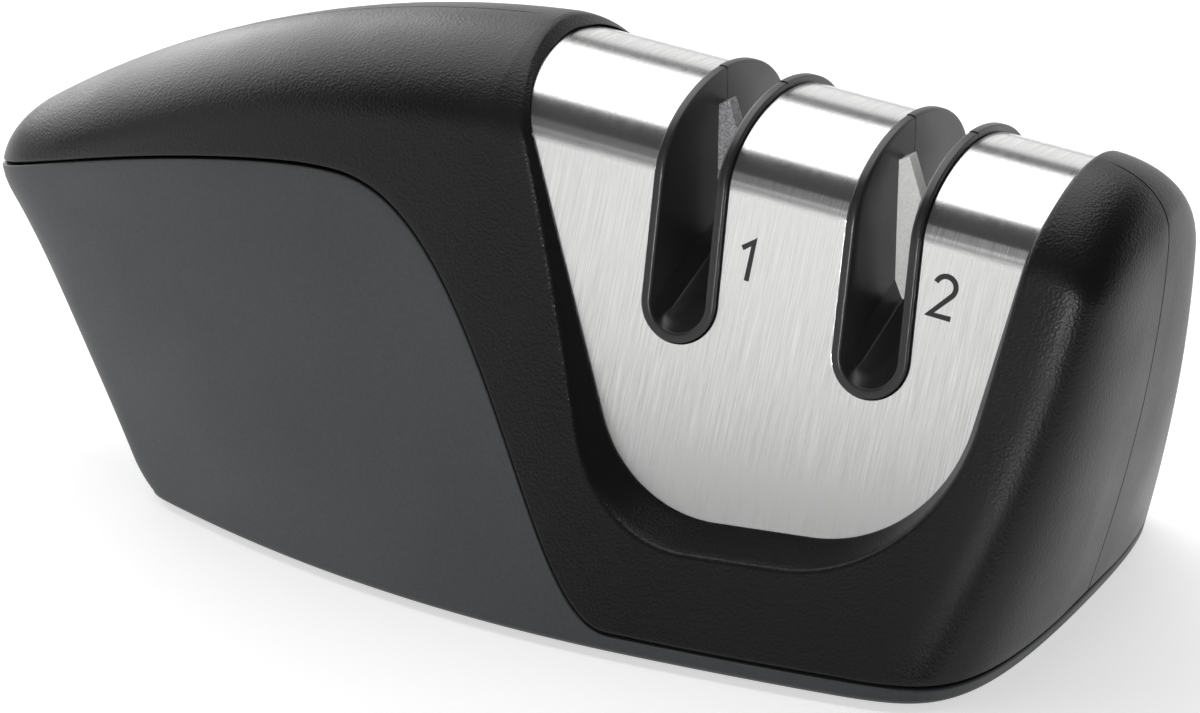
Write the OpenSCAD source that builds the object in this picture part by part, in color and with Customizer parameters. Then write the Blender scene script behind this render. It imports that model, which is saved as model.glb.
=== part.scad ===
// Two-stage pull-through knife sharpener with a hand grip.
// X runs along the grip, with the grip at -X. Y is across, with the front at -Y. Z is up.
// The origin is on the ground, under the middle of the overall length.

/* [Body] */
// Overall length, from the tip of the grip to the end cap
body_l = 158.8; // [150:0.2:170]
// Place of the end cap's furthest point along X
end_x = 80; // [79:0.1:82]
// Half width of the base at its widest place
base_half_w = 37.6; // [34:0.2:42]
// Place along X where the base is widest
widest_x = 30; // [20:1:40]
// Radius of the base outline on the grip side of the widest place
taper_r = 165; // [140:5:260]
// Radius of the base outline on the end cap side of the widest place
front_r = 420; // [250:10:800]
// Grip end of the base
heel_x = -49; // [-54:0.5:-46]
// Rounding of the heel under the grip
heel_r = 3.5; // [2:0.5:6]
// End cap at the base
toe_x = 71.7; // [68:0.1:74]
// Height of the collar crest above the underside
crest_z = 63.2; // [60:0.2:68]
// Place of the collar crest along X
collar_x = 2; // [0:0.5:5]
// Radius of the crest line over the grip
grip_crest_r = 146; // [135:1:170]
// Height of the grip's tip
tip_z = 34.4; // [32:0.1:37]
// Length of the rounded nose at the tip
nose_l = 8; // [5:0.5:12]
// Height at which the end cap reaches furthest out
end_z = 46.8; // [43:0.2:48]
// Length of the rounded top corner of the end cap
end_corner_l = 10; // [8:0.5:12]
// Downward tilt of the deck towards the end cap, in degrees
deck_tilt = 6.7; // [5:0.1:8]
// Half width at the shoulder line, beside the deck
shoulder_half_w = 17.6; // [16.5:0.1:20]
// Depth of the shoulder line below the crest
shoulder_drop = 9.5; // [8:0.1:11]
// Radius by which the shoulder line narrows towards the tip
shoulder_r = 400; // [300:10:700]
// Wall of the shells and of the grip moulding
wall = 1.5; // [1.2:0.1:1.8]

/* [Parting lines] */
// Height of the grip moulding's strip round the base
strip_h = 1.8; // [1.4:0.1:3]
// Highest point of the parting line on the grip
part_z = 45.9; // [43:0.1:48]
// Place where the parting line is highest
part_top_x = -22; // [-30:1:-18]
// Where the parting line starts to dive
part_dive_x = -20.5; // [-22:0.5:-16]
// Where the parting line meets the strip
part_end_x = 27.4; // [24:0.2:32]
// Groove between the black shells and the grip moulding
groove = 0.3; // [0.2:0.05:0.5]
// Gap at the seam between the front and the rear shell
seam_gap = 0.1; // [0.05:0.05:0.2]

/* [Steel cover] */
// Thickness of the steel sheet
sheet_t = 0.6; // [0.4:0.1:0.8]
// Depth of the steel below the collar crest
recess = 1.6; // [1.4:0.1:2]
// Half width of the arch at its shoulder
arch_half_w = 16.1; // [15:0.1:17]
// Depth of the arch's shoulder below its crest
arch_drop = 7.2; // [6.5:0.1:9]
// Slope of the steel sides off the vertical, in degrees
side_slope = 12.5; // [10:0.5:15]
// Window: place of the left edge at the crest
window_left_x = 4.2; // [3:0.1:6]
// Window: lower left corner along X, before rounding
window_low_left_x = 24; // [20:0.5:26]
// Window: height of the lower left corner, before rounding
window_low_z = 12.4; // [11:0.2:16]
// Window: lower right corner along X, before rounding
window_low_right_x = 62; // [60:0.2:66]
// Window: rise of the lower edge towards the end cap
window_rise = 1; // [0:0.2:3]
// Window: place of the right edge at the crest
window_right_x = 70.2; // [69:0.1:70.5]
// Window: radius of the lower left corner
window_left_r = 16; // [10:0.5:18]
// Window: radius of the lower right corner
window_right_r = 19; // [12:0.5:20]
// Bevel: its width beside the left edge at the bottom
bevel_side = 1.4; // [1:0.1:2.2]
// Bevel: its width beside the right edge
bevel_right = 2.6; // [1.6:0.1:3]
// Bevel: its width below the lower edge
bevel_low = 1.6; // [1.2:0.1:2.4]
// Bevel: its width at the crest
bevel_crest = 1.8; // [1.4:0.1:2.2]
// Share of the bevel that the steel reaches under
tuck = 0.45; // [0.3:0.05:0.5]
// Fit clearance between the steel and the inner frame
steel_clear = 0.15; // [0.1:0.05:0.25]
// Gap between the steel and the lip of the shells
lip_clear = 0.4; // [0.35:0.05:0.5]

/* [Sharpening stages] */
// Centre of the coarse slot along X
coarse_x = 28; // [26:0.1:30]
// Distance from the coarse slot to the fine slot
stage_pitch = 24; // [22:0.1:26]
// Width of a slot at the crest
slot_w = 9.2; // [8.6:0.1:9.4]
// Width of a slot at its lower end
slot_low_w = 9.4; // [9:0.1:10]
// Depth of a slot's lower end below the steel crest
slot_depth = 26.3; // [24:0.2:28]
// Width of a guide's rim
rim_w = 1.2; // [0.9:0.1:1.5]
// Height of the rim above the steel
rim_proud = 0.75; // [0.5:0.05:1]
// Rise of a guide's floor towards the middle, in degrees
floor_rise = 19; // [14:1:22]
// Slope of the floor beside its crease, in degrees
floor_side = 22; // [16:1:28]
// Slope of the bank between the crease and the near wall, in degrees
floor_bank = 68; // [60:1:75]
// Distance of the crease from the middle of the slot
crease_off = 2.4; // [2:0.1:2.8]
// Fit clearance of the guides, plates and pins
fit = 0.12; // [0.08:0.02:0.2]
// Thickness of an abrasive plate
plate_t = 2.2; // [1.8:0.1:2.4]
// Distance of the fine plates from the middle plane
fine_plate_off = 2.4; // [2:0.1:2.6]
// Lean of the abrasive edges off the vertical, in degrees
plate_lean = 18.5; // [17:0.5:20]
// Depth of the plates' tops below the rim
plate_top_drop = 2.9; // [2.6:0.1:4]
// Reach of a plate's top past the guide wall
plate_reach = 1.25; // [1.1:0.05:1.5]
// Depth of a plate in its cradle
plate_seat = 9; // [7:0.5:10]
// Diameter of the pin through a pair of plates
pin_d = 2.4; // [2:0.1:2.6]
// Width of a cradle along X
cradle_w = 11; // [10:0.5:13]
// Depth of a cradle along Y
cradle_d = 14; // [13:0.5:17]

/* [Inside] */
// Thickness of the inner frame
frame_t = 2; // [1.6:0.1:2.4]
// Width of the feet of the inner frame
frame_foot_w = 11; // [9:0.5:13]
// Height of the feet of the inner frame
frame_foot_h = 5.5; // [5:0.5:8]
// Distance of the frame screws from the middle plane
frame_screw_y = 18; // [16:0.5:19]
// Distance of the frame screws from the ends of the frame
frame_screw_in = 8; // [6:0.5:10]
// Thickness of the rib that backs the grip
rib_t = 3; // [2.4:0.1:4]
// Diameter of the rib's screw bosses
boss_d = 7; // [6:0.5:9]
// Height of the rib's screw bosses
boss_h = 9; // [8:0.5:12]
// Place of the rib's first screw
rib_screw_x = -34; // [-38:0.5:-28]
// Distance between the rib's screws
rib_screw_pitch = 26; // [20:0.5:28]
// Thickness of the base plate
plate_base_t = 2.4; // [2:0.1:3]
// Recess of the base plate above the underside of the strip
base_inset = 0.4; // [0.2:0.1:0.8]
// Fit clearance round the base plate
base_clear = 0.3; // [0.2:0.05:0.4]
// Diameter of the screw shanks
screw_d = 2.6; // [2.2:0.1:3]
// Diameter of the screw heads
screw_head_d = 5.2; // [4.6:0.1:5.6]
// Height of the screw heads
screw_head_h = 1.2; // [1:0.1:1.4]
// Length of the screw shanks
screw_l = 6; // [5:0.5:8]
// Diameter of the rubber feet
foot_d = 11; // [9:0.5:13]
// Place of the feet under the grip, along X
foot_grip_x = -34; // [-36:0.5:-28]
// Distance of those feet from the middle plane
foot_grip_y = 13; // [12:0.5:15]
// Place of the feet near the end cap, along X
foot_end_x = 56; // [52:0.5:57]
// Distance of those feet from the middle plane
foot_end_y = 26; // [25.5:0.5:27]
// Height of the rubber feet below the underside
foot_proud = 0.8; // [0.5:0.1:1.5]
// Depth of the rubber feet in the base plate
foot_inset = 1.2; // [0.8:0.1:1.5]

/* [Hidden] */
$fn = 48;

// Colours of the materials
shell_black = "#1c1c1e";
grip_grey = "#4b4d4f";
steel = "#c9cac9";
carbide = "#6f7072";
ceramic = "#e9e7e0";
inner_black = "#2a2a2c";
zinc = "#a9abad";
rubber = "#232323";

// Derived places
tip_x = end_x - body_l;
middle_x = end_x - body_l / 2;
fine_x = coarse_x + stage_pitch;
deck_slope = tan(deck_tilt);
steel_crest_z = crest_z - recess;
base_top = base_inset + plate_base_t;

// Shape constants of the body's surface
plan_power = 3.8;
end_power = 1.68;
corner_power = 2.2;
arch_power = 1.8;
rise_power = 1.5;
dive_power = 1.25;
cap_low_l = 22;
cap_top_l = 9;
bow_low_l = 7;
bow_tip_l = 70;
bow_power = 4;
flare = 0.25;

// Basic curves
function mix(a, b, t) = a + (b - a) * t;
function clamp(t) = max(0, min(1, t));
function smooth(t) = let(u = clamp(t)) u * u * (3 - 2 * u);
function nose(u, p) = 1 - pow(1 - pow(clamp(u), p), 1 / p);
function round_end(e) = 1 - pow(1 - sqrt(clamp(e)), plan_power);

// Crest line of the body: a circular arc over the grip, a straight deck and two rounded ends
function deck_z(x) = crest_z - (x - collar_x) * deck_slope;
function arc_z(x) = crest_z - grip_crest_r + sqrt(pow(grip_crest_r, 2) - pow(x - collar_x, 2));
function grip_crest(x) = arc_z(x) - (arc_z(tip_x) - tip_z) * nose((tip_x + nose_l - x) / nose_l, 2);
function end_u(x) = (x - end_x + end_corner_l) / end_corner_l;
function end_crest(x) = deck_z(x) - (deck_z(end_x) - end_z) * nose(end_u(x), corner_power);
function crest(x) = x < collar_x ? grip_crest(x) : end_crest(x);

// Left and right outlines of the side view, below the tip and below the end cap's bulge
function heel(z) = z < heel_r ? heel_r - sqrt(pow(heel_r, 2) - pow(heel_r - z, 2)) : 0;
function bow_x(z) = mix(heel_x, tip_x, clamp(z / tip_z)) + heel(z);
function cap_x(z) = mix(toe_x, end_x, 1 - pow(1 - clamp(z / end_z), end_power));

// Half width of the body at a place of its side view
function base_w(x) = base_half_w - pow(x - widest_x, 2) / (2 * (x < widest_x ? taper_r : front_r));
function shoulder_w(x) = shoulder_half_w - pow(min(0, x - collar_x), 2) / (2 * shoulder_r);
function side_w(x, u) = let(s = shoulder_w(x))
    s + (base_w(x) - s) * mix(1 - u, pow(1 - u, 2), flare);
function lean(x, zs) = (base_w(x) - shoulder_w(x)) * (1 - flare) / zs;
function top_w(x, h, zs) = (shoulder_w(x) - lean(x, zs) * h * shoulder_drop)
    * sqrt(max(0, 1 - pow(h, arch_power)));
function front_w(x, z) = let(zs = crest(x) - shoulder_drop)
    z <= zs ? side_w(x, z / zs) : top_w(x, clamp((z - zs) / shoulder_drop), zs);
function bow_l(z) = mix(bow_low_l, bow_tip_l, pow(clamp(z / tip_z), bow_power));
function cap_l(z) = mix(cap_low_l, cap_top_l, clamp(z / end_z));
function body_w(x, z) = front_w(x, z) * round_end((cap_x(z) - x) / cap_l(z))
    * round_end((x - bow_x(z)) / bow_l(z));
function body_point(p) = [p[0], -body_w(p[0], p[1]), p[1]];

// Parting line between the black shells and the grip moulding, in the side view
function part_rise(x) = part_z - (part_z - tip_z)
    * pow(clamp((part_top_x - x) / (part_top_x - tip_x)), rise_power);
function dive_u(x) = clamp((x - part_dive_x) / (part_end_x - part_dive_x));
function part_dive(x) = mix(part_z, strip_h, smooth(pow(dive_u(x), dive_power)));
function part_line(x) = x < part_dive_x ? part_rise(x) : part_dive(x);

// Arch of the steel: half width at a depth below its crest, measured square to the deck
arch_k = tan(side_slope);
function arch_w(d) = d < arch_drop
    ? (arch_half_w - arch_k * (arch_drop - d)) * sqrt(max(0, 1 - pow(1 - d / arch_drop, arch_power)))
    : arch_half_w + arch_k * (d - arch_drop);
function steel_z(x) = steel_crest_z - (x - collar_x) * deck_slope;
function steel_w(x, z) = arch_w(max(0, (steel_z(x) - z) * cos(deck_tilt)));

// A corner of an outline, rounded with radius r as n + 1 points
function unit(v) = v / norm(v);
function corner(a, b, c, r, n) = let(
    u = unit(a - b), v = unit(c - b), half = acos(u * v) / 2, m = unit(u + v),
    o = b + m * r / sin(half), w = (180 - 2 * half) / n, s = sign(cross(u, v)),
    t = b + u * r / tan(half) - o)
    [for (i = [0:n]) let(g = -s * w * i)
        o + [t[0] * cos(g) - t[1] * sin(g), t[0] * sin(g) + t[1] * cos(g)]];
function run(a, b, n) = [for (i = [0:n - 1]) mix(a, b, i / n)];
function fall(a, b, n) = [for (i = [0:n - 1]) mix(a, b, pow(i / n, 2))];
function climb(a, b, n) = [for (i = [0:n - 1]) mix(b, a, pow(1 - i / n, 2))];

// Outline of the window from its left crest round to its right crest
left_n = 14;
round_n = 5;
low_n = 6;
right_n = 11;
function outline(tl, bl, br, tr, rl, rr) = let(
    cl = corner(tl, bl, br, rl, round_n), cr = corner(bl, br, tr, rr, round_n))
    concat(fall(tl, cl[0], left_n), [for (i = [0:round_n - 1]) cl[i]],
        run(cl[round_n], cr[0], low_n), [for (i = [0:round_n - 1]) cr[i]],
        climb(cr[round_n], tr, right_n), [tr]);
window_low_right_z = window_low_z + window_rise;
edge = outline([window_left_x, steel_z(window_left_x)], [window_low_left_x, window_low_z],
    [window_low_right_x, window_low_right_z], [window_right_x, steel_z(window_right_x)],
    window_left_r, window_right_r);
bevel_left_x = window_left_x - bevel_crest;
bevel_right_x = window_right_x + bevel_crest / 2;
bevel = outline([bevel_left_x, crest(bevel_left_x)],
    [window_low_left_x - bevel_side, window_low_z - bevel_low],
    [window_low_right_x + bevel_right, window_low_right_z - bevel_low],
    [bevel_right_x, crest(bevel_right_x)],
    window_left_r + bevel_side, window_right_r + bevel_right);
edge_n = len(edge);

// Columns of the shell's surface: up the nose, along the grip's crest, then round the window
grip_n = 16;
row_n = 9;
nose_step = 0.6;
nose_first = 0.03;
grip_step_power = 1.35;
crest_lag = 14;
lag_from_x = -42;
fan_x = 56;
col_n = grip_n + edge_n;
turn_k = left_n + round_n;
fan_k = turn_k + low_n;
grip_end_x = bevel_left_x - crest_lag;
function grip_x(i) = mix(tip_x + nose_step, bevel_left_x, pow(i / grip_n, grip_step_power));
function foot_lag(x) = x - crest_lag * smooth((x - lag_from_x) / (bevel_left_x - lag_from_x));
function fan_t(k) = clamp((k - fan_k) / (edge_n - 1 - fan_k));
function ease(t) = 1 - pow(1 - t, 2);
function foot_x(i) = i == 0 ? tip_x
    : i < grip_n ? foot_lag(grip_x(i))
    : let(k = i - grip_n) k <= turn_k ? mix(grip_end_x, part_end_x, k / turn_k)
    : k <= fan_k ? mix(part_end_x, fan_x, (k - turn_k) / low_n)
    : mix(fan_x, cap_x(strip_h), ease(fan_t(k)));

// Side view of the end cap and of the nose, from the parting line up
cap_share = 0.7;
cap_step_power = 1.5;
collar_n = 5;
function cap_side(t, z0) = t < cap_share
    ? let(z = mix(z0, end_z, t / cap_share)) [cap_x(z), z]
    : let(u = (t - cap_share) / (1 - cap_share), x = mix(end_x, bevel_right_x, pow(u, cap_step_power)))
        [x, crest(x)];
function nose_side(t) = let(x = tip_x + mix(nose_first, nose_step, t * t)) [x, crest(x)];
function bulge(t, z0) = cap_side(t, z0) - mix(cap_side(0, z0), cap_side(1, z0), t);

// Point of the shell's surface in the side view, for column i and share t of its height
function shell_side(i, t) = let(x = foot_x(i), z0 = part_line(x) + groove / 2)
    i == 0 ? nose_side(t)
    : i < grip_n ? mix([x, z0], [grip_x(i), crest(grip_x(i))], ease(t))
    : let(k = i - grip_n)
        mix([x, z0], bevel[k], mix(ease(t), t, clamp(k / collar_n))) + bulge(t, z0) * ease(fan_t(k));
function on_seam(i, j) = i == 0 || i == col_n - 1 || (j == row_n && i <= grip_n);
function seamed(p) = [p[0], -seam_gap / 2, p[2]];
function shell_point(i, j) = let(p = body_point(shell_side(i, j / row_n)))
    on_seam(i, j) ? seamed(p) : [p[0], min(p[1], -seam_gap / 2), p[2]];

// Surface normal of a grid of points, kept level by the share given
function grid_normal(g, i, j, level) = let(
    a = g[min(i + 1, len(g) - 1)][j] - g[max(i - 1, 0)][j],
    b = g[i][min(j + 1, len(g[0]) - 1)] - g[i][max(j - 1, 0)],
    n = cross(a, b))
    unit([n[0], n[1], n[2] * (1 - level)]);
// On the seam the normal stays in the seam's plane, square to the outline there
function seam_normal(g, i, j, level) = let(
    a = g[min(i + 1, len(g) - 1)][j] - g[max(i - 1, 0)][j],
    b = g[i][min(j + 1, len(g[0]) - 1)] - g[i][max(j - 1, 0)],
    n = i == 0 ? [-b[2], b[0]] : i == len(g) - 1 ? [b[2], -b[0]] : [-a[2], a[0]])
    unit([n[0], 0, n[1] * (1 - level)]);
function inset(g, i, j, level, seam) = seam
    ? g[i][j] - wall * seam_normal(g, i, j, level)
    : let(p = g[i][j] - wall * grid_normal(g, i, j, level)) [p[0], min(p[1], -seam_gap / 2), p[2]];

// Lip of the shell round the window: its visible edge and its underside, both just off the steel
tuck_edge = [for (k = [0:edge_n - 1]) mix(edge[k], bevel[k], tuck)];
lip_share = 0.62;
function on_steel(p, seam) = let(d = max(0, (steel_z(p[0]) - p[1]) * cos(deck_tilt)),
    n = lip_clear * (d > 0 ? arch_normal(d) : [0, 1]))
    [p[0] + n[1] * sin(deck_tilt), seam ? -seam_gap / 2 : -arch_w(d) - n[0], p[1] + n[1] * cos(deck_tilt)];
function lip(k, s) = on_steel(mix(edge[k], bevel[k], s), k == 0 || k == edge_n - 1);

// Faces between neighbouring points of two rows of a closed skin
function quad(a, b, c, d) = [[a, b, c], [a, c, d]];
function joined(lists) = [for (l = lists) for (f = l) f];

module shell_half() {
    outer = [for (i = [0:col_n - 1]) [for (j = [0:row_n]) shell_point(i, j)]];
    inner = [for (i = [0:col_n - 1]) [for (j = [0:row_n])
        inset(outer, i, j, 1 - clamp(j / 3), on_seam(i, j))]];
    lip_out = [for (k = [0:edge_n - 1]) lip(k, 0)];
    lip_in = [for (k = [0:edge_n - 1]) lip(k, lip_share)];
    rows = row_n + 1;
    n = col_n - 1;
    size = col_n * rows;
    function o(i, j) = i * rows + j;
    function q(i, j) = size + o(i, j);
    function w(i) = 2 * size + i - grip_n;
    function p(i) = w(i) + edge_n;
    skin = joined([for (i = [0:n - 1], j = [0:row_n - 1]) concat(
        quad(o(i, j), o(i, j + 1), o(i + 1, j + 1), o(i + 1, j)),
        quad(q(i, j), q(i + 1, j), q(i + 1, j + 1), q(i, j + 1)))]);
    ends = joined([for (j = [0:row_n - 1]) concat(
        quad(o(0, j + 1), o(0, j), q(0, j), q(0, j + 1)),
        quad(o(n, j), o(n, j + 1), q(n, j + 1), q(n, j)))]);
    foot = joined([for (i = [0:n - 1]) quad(o(i, 0), o(i + 1, 0), q(i + 1, 0), q(i, 0))]);
    top = joined([for (i = [0:grip_n - 1])
        quad(o(i + 1, row_n), o(i, row_n), q(i, row_n), q(i + 1, row_n))]);
    rim = joined([for (i = [grip_n:n - 1]) concat(
        quad(o(i, row_n), w(i), w(i + 1), o(i + 1, row_n)),
        quad(q(i, row_n), q(i + 1, row_n), p(i + 1), p(i)),
        quad(w(i + 1), w(i), p(i), p(i + 1)))]);
    rim_ends = concat(quad(w(grip_n), o(grip_n, row_n), q(grip_n, row_n), p(grip_n)),
        quad(o(n, row_n), w(n), p(n), q(n, row_n)));
    polyhedron(points = concat(joined(outer), joined(inner), lip_out, lip_in),
        faces = concat(skin, ends, foot, top, rim, rim_ends), convexity = 6);
}

// Grip moulding: a ring whose columns stand under those of the shells
grip_rows = 7;
grip_row_power = 1.6;
heel_power = 1.7;
function heel_share(x) = x > 0 ? 0 : 1 - pow((x - tip_x) / -tip_x, heel_power);
function base_x(x) = x > fan_x ? mix(fan_x, toe_x, (x - fan_x) / (cap_x(strip_h) - fan_x))
    : x > 0 ? x : heel_x * heel_share(x);
function grip_side(i, t) = let(x = foot_x(i), z = t * (part_line(x) - groove / 2))
    i == 0 ? [bow_x(z), z]
    : i == col_n - 1 ? [cap_x(z), z]
    : [mix(base_x(x), x, t) + heel(z) * heel_share(x), z];
function grip_point(i, j) = let(p = body_point(grip_side(i, pow(j / grip_rows, grip_row_power))))
    i == 0 || i == col_n - 1 ? [p[0], 0, p[2]] : p;

module grip_ring() {
    half = [for (i = [0:col_n - 1]) [for (j = [0:grip_rows]) grip_point(i, j)]];
    core = [for (i = [0:col_n - 1]) [for (j = [0:grip_rows])
        inset(half, i, j, 1, i == 0 || i == col_n - 1)]];
    back = [for (i = [col_n - 2:-1:1]) i];
    function flip(p) = [p[0], -p[1], p[2]];
    outer = concat(half, [for (i = back) [for (p = half[i]) flip(p)]]);
    inner = concat(core, [for (i = back) [for (p = core[i]) flip(p)]]);
    rows = grip_rows + 1;
    n = len(outer);
    function o(i, j) = (i % n) * rows + j;
    function q(i, j) = n * rows + o(i, j);
    skin = joined([for (i = [0:n - 1], j = [0:grip_rows - 1]) concat(
        quad(o(i, j), o(i, j + 1), o(i + 1, j + 1), o(i + 1, j)),
        quad(q(i, j), q(i + 1, j), q(i + 1, j + 1), q(i, j + 1)))]);
    edges = joined([for (i = [0:n - 1]) concat(
        quad(o(i, 0), o(i + 1, 0), q(i + 1, 0), q(i, 0)),
        quad(o(i + 1, grip_rows), o(i, grip_rows), q(i, grip_rows), q(i + 1, grip_rows)))]);
    polyhedron(points = concat(joined(outer), joined(inner)), faces = concat(skin, edges),
        convexity = 6);
}

// Everything is drawn from a datum on the underside and placed over the origin
module placed() {
    translate([-middle_x, 0, foot_proud]) children();
}

module front_shell() {
    color(shell_black) placed() shell_half();
}

module rear_shell() {
    color(shell_black) placed() mirror([0, 1, 0]) shell_half();
}

module grip_moulding() {
    color(grip_grey) placed() grip_ring();
}

// Arch across the deck: points of its right side, moved out by o, down to a depth
arch_n = 9;
arch_step = 0.05;
far = 60;
deep = 80;
function arch_normal(d) = let(
    t = unit([arch_w(d + arch_step) - arch_w(max(0, d - arch_step)), -arch_step - min(d, arch_step)]))
    [-t[1], t[0]];
function arch_point(d, o) = d == 0 ? [0, o] : [arch_w(d), -d] + o * arch_normal(d);
function arch_side(o, depth) = [for (i = [0:arch_n]) arch_point(arch_drop * pow(i / arch_n, 2), o),
    arch_point(depth, o)];
function arch_outline(o, depth) = let(r = arch_side(o, depth), n = len(r))
    concat([for (i = [n - 1:-1:1]) [-r[i][0], r[i][1]]], r);

module arch_solid(o, depth) {
    translate([collar_x, 0, steel_crest_z]) rotate([0, deck_tilt, 0]) translate([-far / 2, 0, 0])
        rotate([90, 0, 90]) linear_extrude(2 * far) polygon(arch_outline(o, depth));
}

// Side-view outline carried right through the width
module across() {
    rotate([90, 0, 0]) linear_extrude(2 * far, center = true) children();
}

module half_space(s) {
    translate([-far, s < 0 ? -far - seam_gap / 2 : seam_gap / 2, 0]) cube([3 * far, far, 2 * far]);
}

// Slot of a stage, grown by g: a tapered channel with a round lower end
function slot_low(x) = steel_z(x) - slot_depth;
module slot_outline(x, g) {
    r = slot_low_w / 2;
    mid = slot_low(x) + r;
    up = 2 * (steel_z(x) - mid);
    a = slot_low_w / 2 + g;
    b = slot_w - slot_low_w / 2 + g;
    translate([x, mid]) circle(r + g);
    polygon([[x - a, mid], [x + a, mid], [x + b, mid + up], [x - b, mid + up]]);
}

module slot(x, g) {
    across() slot_outline(x, g);
}

module steel_cover() {
    first = tuck_edge[0];
    last = tuck_edge[edge_n - 1];
    color(steel) placed() difference() {
        arch_solid(0, deep);
        arch_solid(-sheet_t, deep + frame_t);
        across() difference() {
            translate([-far, -far]) square(4 * far);
            polygon(concat([[first[0], 2 * far]], tuck_edge, [[last[0], 2 * far]]));
        }
        slot(coarse_x, 0);
        slot(fine_x, 0);
    }
}

// Outline of a leaning abrasive plate for slot x, leaning from side s, grown by g
wall_x = slot_w / 2 - fit - rim_w;
plate_bite = 0.6;
plate_chamfer = 0.5;
function plate_top(x) = steel_z(x) + rim_proud - plate_top_drop;
function plate_low(x) = slot_low(x) - plate_seat;
function plate_points(x, s, g) = let(
    top = plate_top(x) + g, low = plate_low(x) - g, in_x = wall_x + rim_w * plate_bite + g,
    reach = wall_x - plate_reach - g, far_x = wall_x - fit + g, drop = (reach + far_x) / tan(plate_lean))
    [for (p = [[-in_x, top - (in_x - reach) * plate_chamfer], [-reach, top], [far_x, top - drop],
        [far_x, low], [-in_x, low]]) [x - s * p[0], p[1]]];

// A plate's outline carried from one distance off the middle plane to another, on side s
module plate_block(x, s, g, y0, y1) {
    translate([0, s < 0 ? -y0 : y1, 0]) rotate([90, 0, 0]) linear_extrude(y1 - y0)
        polygon(plate_points(x, s, g));
}

// Near face of a stage's plates; the two rooms of the coarse stage run into each other at the seam
function plate_y(x) = seam_gap / 2 + (x == fine_x ? fine_plate_off : 0);
function room_y(x) = x == fine_x ? plate_y(x) - fit : -plate_y(x);
module plate_room(x, s) {
    plate_block(x, s, fit, room_y(x), plate_y(x) + plate_t + fit);
}

function pin_z(x) = slot_low(x) - plate_seat / 2;
module pin_bore(x, g) {
    translate([x, 0, pin_z(x)]) rotate([90, 0, 0])
        cylinder(d = pin_d + 2 * g, h = cradle_d + 2 * g, center = true);
}

module abrasive(x, s) {
    difference() {
        plate_block(x, s, 0, plate_y(x), plate_y(x) + plate_t);
        pin_bore(x, fit);
    }
}

// Floor of a guide: two slopes that meet in a crease near one wall, rising towards the middle
module guide_floor(x, s) {
    z = slot_low(x) + rim_w;
    y = steel_w(x, z);
    w = slot_low_w;
    translate([x - crease_off, s * y, z]) rotate([-s * floor_rise, 0, 0]) across()
        polygon([[-w, -far], [w, -far], [w, w * tan(floor_side)], [0, 0], [-w, w * tan(floor_bank)]]);
}

module guide_half(x, s) {
    difference() {
        intersection() {
            arch_solid(rim_proud, deep);
            slot(x, -fit);
            half_space(s);
        }
        difference() {
            slot(x, -fit - rim_w);
            guide_floor(x, s);
        }
        plate_room(x, s);
    }
}

module cradle(x) {
    top = slot_low(x) - fit;
    difference() {
        translate([x - cradle_w / 2, -cradle_d / 2, base_top])
            cube([cradle_w, cradle_d, top - base_top]);
        for (s = [-1, 1]) plate_room(x, s);
        pin_bore(x, fit);
        screw_bore([x, 0]);
    }
}

// Screws that come up through the base plate
frame_gap = 1;
frame_x0 = window_left_x + frame_gap;
frame_x1 = window_right_x - 2 * frame_gap;
frame_screw_at = [for (x = [frame_x0 + frame_screw_in, frame_x1 - frame_screw_in], y = [-1, 1])
    [x, y * frame_screw_y]];
cradle_screw_at = [[coarse_x, 0], [fine_x, 0]];
rib_screw_at = [[rib_screw_x, 0], [rib_screw_x + rib_screw_pitch, 0]];
foot_at = [for (y = [-1, 1]) each [[foot_grip_x, y * foot_grip_y], [foot_end_x, y * foot_end_y]]];

module screw(p) {
    translate([p[0], p[1], base_inset]) {
        cylinder(d = screw_head_d, h = screw_head_h);
        cylinder(d = screw_d, h = screw_head_h + screw_l);
    }
}

module screw_bore(p) {
    translate([p[0], p[1], base_inset]) {
        translate([0, 0, -far]) cylinder(d = screw_head_d + 2 * fit, h = far + screw_head_h);
        cylinder(d = screw_d + 2 * fit, h = screw_head_h + screw_l + fit);
    }
}

module inner_frame() {
    o = -sheet_t - steel_clear;
    size = frame_x1 - frame_x0;
    color(inner_black) placed() difference() {
        intersection() {
            arch_solid(o, deep);
            translate([frame_x0, -far, base_top]) cube([size, 2 * far, 2 * far]);
        }
        difference() {
            arch_solid(o - frame_t, deep + frame_t);
            for (s = [-1, 1]) translate([frame_x0, s * (frame_screw_y + far / 2) - far / 2, 0])
                translate([0, -s * frame_foot_w / 2, 0]) cube([size, far, base_top + frame_foot_h]);
        }
        slot(coarse_x, fit);
        slot(fine_x, fit);
        for (p = frame_screw_at) screw_bore(p);
    }
}

// Rib on the middle plane of the grip, from the base plate up to the crest
rib_gap = 0.4;
rib_n = 10;
rib_x0 = tip_x + nose_l * 1.5;
rib_x1 = frame_x0 - frame_t;
function rib_low(x) = max(base_top,
    tip_z * (x - heel_x - 2 * wall - rib_gap) / (tip_x - heel_x));
module grip_rib() {
    top = [for (i = [0:rib_n]) let(x = mix(rib_x0, rib_x1, i / rib_n)) [x, crest(x) - wall - rib_gap]];
    bend_x = heel_x + 2 * wall + rib_gap - base_top * (heel_x - tip_x) / tip_z;
    low = [for (x = [rib_x1, bend_x, rib_x0]) [x, rib_low(x)]];
    color(inner_black) placed() difference() {
        union() {
            translate([0, rib_t / 2, 0]) rotate([90, 0, 0]) linear_extrude(rib_t)
                polygon(concat(top, low));
            for (p = rib_screw_at) translate([p[0], p[1], base_top]) cylinder(d = boss_d, h = boss_h);
        }
        for (p = rib_screw_at) screw_bore(p);
    }
}

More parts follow.
